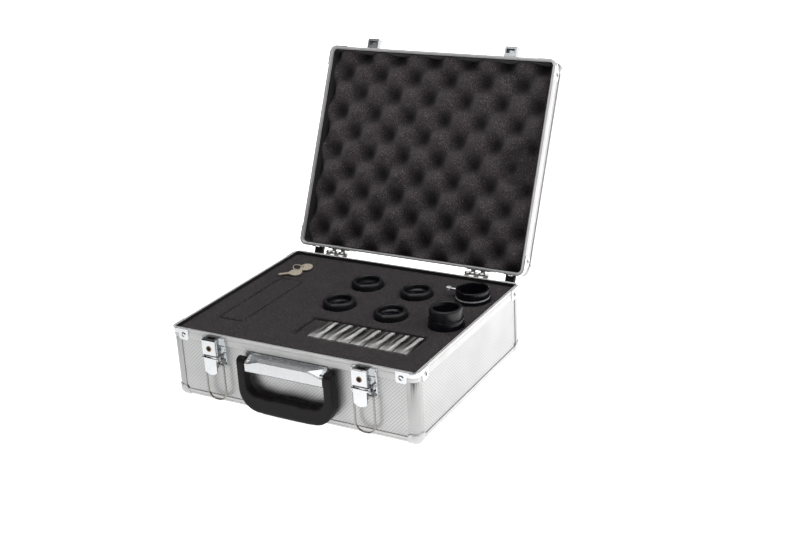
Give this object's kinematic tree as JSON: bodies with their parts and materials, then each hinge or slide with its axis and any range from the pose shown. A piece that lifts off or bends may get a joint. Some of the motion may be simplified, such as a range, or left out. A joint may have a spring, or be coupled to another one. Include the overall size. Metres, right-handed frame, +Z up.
{
  "type": "telescope eyepiece kit in a case",
  "caption": "Hard aluminium carry case, lid open, with eyepieces, a Barlow adapter, boxed filters and keys in cut foam; latches, handle and contents move",
  "frame": {"origin": "under the middle of the base, on the plane the case stands on", "axes": "+X to the right seen from the front, +Y to the back, +Z up; the front carries the handle and latches"},
  "size_m": [0.2992, 0.3942, 0.3192],
  "materials": {
    "wall_panel": "silver panel with a fine diamond texture",
    "bottom_panel": "black fibreboard-like plastic sheet",
    "frame_aluminium": "satin anodised extrusion",
    "chromed_fittings": "bright plated pressings and castings",
    "bright_wire": "bright round wire",
    "rivet_steel": "domed rivets and pins",
    "hinge_steel": "bright plated steel",
    "black_plastic": "fine matt moulded black",
    "foam": "open-cell foam, charcoal",
    "lining": "thin dark lining",
    "lock_brass": "plated lock plug with a keyhole",
    "black_anodised": "black anodised",
    "eyecup_rubber": "soft black rubber",
    "coated_glass": "coated optical glass",
    "bright_ring": "bright turned metal",
    "clear_plastic": "clear moulded plastic",
    "filter_metal": "black anodised filter cell",
    "filter_glass": "coloured filter glass",
    "key_metal": "plated, warm nickel colour"
  },
  "bodies": {
    "case": {"base_wall_panels": "wall_panel", "base_bottom_panel": "bottom_panel", "base_corner_posts": "frame_aluminium", "base_bottom_rails": "frame_aluminium", "base_rim": "frame_aluminium", "base_rim_corners": "chromed_fittings", "base_ball_corners": "frame_aluminium", "base_feet": "black_plastic", "base_foam": "foam", "base_rivets": "rivet_steel", "hinge_base_leaves": "hinge_steel", "fixed_pins": "rivet_steel", "handle_bracket": "chromed_fittings", "latch_plates": "chromed_fittings", "lock_bodies": "chromed_fittings"},
    "handle": {"handle_grip": "black_plastic"},
    "left_lock": {"left_lock_cylinder": "lock_brass"},
    "right_lock": {"right_lock_cylinder": "lock_brass"},
    "left_lever": {"left_latch_lever": "chromed_fittings"},
    "right_lever": {"right_latch_lever": "chromed_fittings"},
    "left_bail_wire": {"left_bail": "bright_wire"},
    "right_bail_wire": {"right_bail": "bright_wire"},
    "lid": {"lid_top_panel": "wall_panel", "lid_wall_panels": "wall_panel", "lid_corner_posts": "frame_aluminium", "lid_top_rails": "frame_aluminium", "lid_rim": "frame_aluminium", "lid_rim_corners": "chromed_fittings", "lid_ball_corners": "frame_aluminium", "lid_feet": "black_plastic", "lid_foam": "foam", "lid_lining": "lining", "lid_catches": "chromed_fittings", "lid_rivets": "rivet_steel", "hinge_lid_leaves": "hinge_steel"},
    "plug": {"foam_plug": "foam"},
    "filler": {"foam_filler": "foam"},
    "tall_eyepiece": {"tall_eyepiece_housing": "black_anodised", "tall_eyepiece_eyecup": "eyecup_rubber", "tall_eyepiece_lenses": "coated_glass"},
    "barlow": {"barlow_body": "black_anodised", "barlow_ring": "bright_ring", "barlow_lens": "coated_glass"},
    "thumbscrew": {"barlow_thumbscrew": "bright_ring"},
    "filters": {"filter_cases": "clear_plastic", "filter_rings": "filter_metal", "filter_glasses": "filter_glass"},
    "key_set": {"keys_on_ring": "key_metal"},
    "eyepiece_1": {"eyepiece_1_housing": "black_anodised", "eyepiece_1_eyecup": "eyecup_rubber", "eyepiece_1_lenses": "coated_glass"},
    "eyepiece_2": {"eyepiece_2_housing": "black_anodised", "eyepiece_2_eyecup": "eyecup_rubber", "eyepiece_2_lenses": "coated_glass"},
    "eyepiece_3": {"eyepiece_3_housing": "black_anodised", "eyepiece_3_eyecup": "eyecup_rubber", "eyepiece_3_lenses": "coated_glass"},
    "eyepiece_4": {"eyepiece_4_housing": "black_anodised", "eyepiece_4_eyecup": "eyecup_rubber", "eyepiece_4_lenses": "coated_glass"}
  },
  "joints": [
    {"name": "lid_hinge", "type": "hinge", "parent": "case", "child": "lid", "pos_m": [0, 0.1285, 0.081], "axis": [-1, 0, 0], "range_deg": [-115, 0], "deforming": ["lid_foam"]},
    {"name": "handle_swing", "type": "hinge", "parent": "case", "child": "handle", "pos_m": [0, -0.1301, 0.0605], "axis": [-1, 0, 0], "range_deg": [0, 95]},
    {"name": "left_lever_swing", "type": "hinge", "parent": "case", "child": "left_lever", "pos_m": [-0.0905, -0.1325, 0.0573], "axis": [-1, 0, 0], "range_deg": [0, 100]},
    {"name": "left_bail_swing", "type": "hinge", "parent": "left_lever", "child": "left_bail_wire", "pos_m": [-0.0905, -0.1285, 0.05], "axis": [1, 0, 0], "range_deg": [-180, 0]},
    {"name": "left_lock_turn", "type": "hinge", "parent": "case", "child": "left_lock", "pos_m": [-0.0905, -0.13, 0.069], "axis": [0, 1, 0], "range_deg": [0, 90]},
    {"name": "right_lever_swing", "type": "hinge", "parent": "case", "child": "right_lever", "pos_m": [0.0905, -0.1325, 0.0573], "axis": [-1, 0, 0], "range_deg": [0, 100]},
    {"name": "right_bail_swing", "type": "hinge", "parent": "right_lever", "child": "right_bail_wire", "pos_m": [0.0905, -0.1285, 0.05], "axis": [1, 0, 0], "range_deg": [-180, 0]},
    {"name": "right_lock_turn", "type": "hinge", "parent": "case", "child": "right_lock", "pos_m": [0.0905, -0.13, 0.069], "axis": [0, 1, 0], "range_deg": [0, 90]},
    {"name": "eyepiece_1_lift", "type": "slide", "parent": "case", "child": "eyepiece_1", "axis": [0, 0, 1], "range_m": [0, 0.062]},
    {"name": "eyepiece_2_lift", "type": "slide", "parent": "case", "child": "eyepiece_2", "axis": [0, 0, 1], "range_m": [0, 0.062]},
    {"name": "eyepiece_3_lift", "type": "slide", "parent": "case", "child": "eyepiece_3", "axis": [0, 0, 1], "range_m": [0, 0.062]},
    {"name": "eyepiece_4_lift", "type": "slide", "parent": "case", "child": "eyepiece_4", "axis": [0, 0, 1], "range_m": [0, 0.062]},
    {"name": "tall_eyepiece_lift", "type": "slide", "parent": "case", "child": "tall_eyepiece", "axis": [0, 0, 1], "range_m": [0, 0.07]},
    {"name": "barlow_lift", "type": "slide", "parent": "case", "child": "barlow", "axis": [0, 0, 1], "range_m": [0, 0.068]},
    {"name": "thumbscrew_turn", "type": "hinge", "parent": "barlow", "child": "thumbscrew", "pos_m": [0.0906, 0.0709, 0.0851], "axis": [-1, 0, 0], "range_deg": [0, 720]},
    {"name": "filters_lift", "type": "slide", "parent": "case", "child": "filters", "axis": [0, 0, 1], "range_m": [0, 0.05]},
    {"name": "filler_lift", "type": "slide", "parent": "case", "child": "filler", "axis": [0, 0, 1], "range_m": [0, 0.05]},
    {"name": "plug_lift", "type": "slide", "parent": "case", "child": "plug", "axis": [0, 0, 1], "range_m": [0, 0.065]},
    {"name": "keys_lift", "type": "slide", "parent": "case", "child": "key_set", "axis": [0, 0, 1], "range_m": [0, 0.05]}
  ]
}
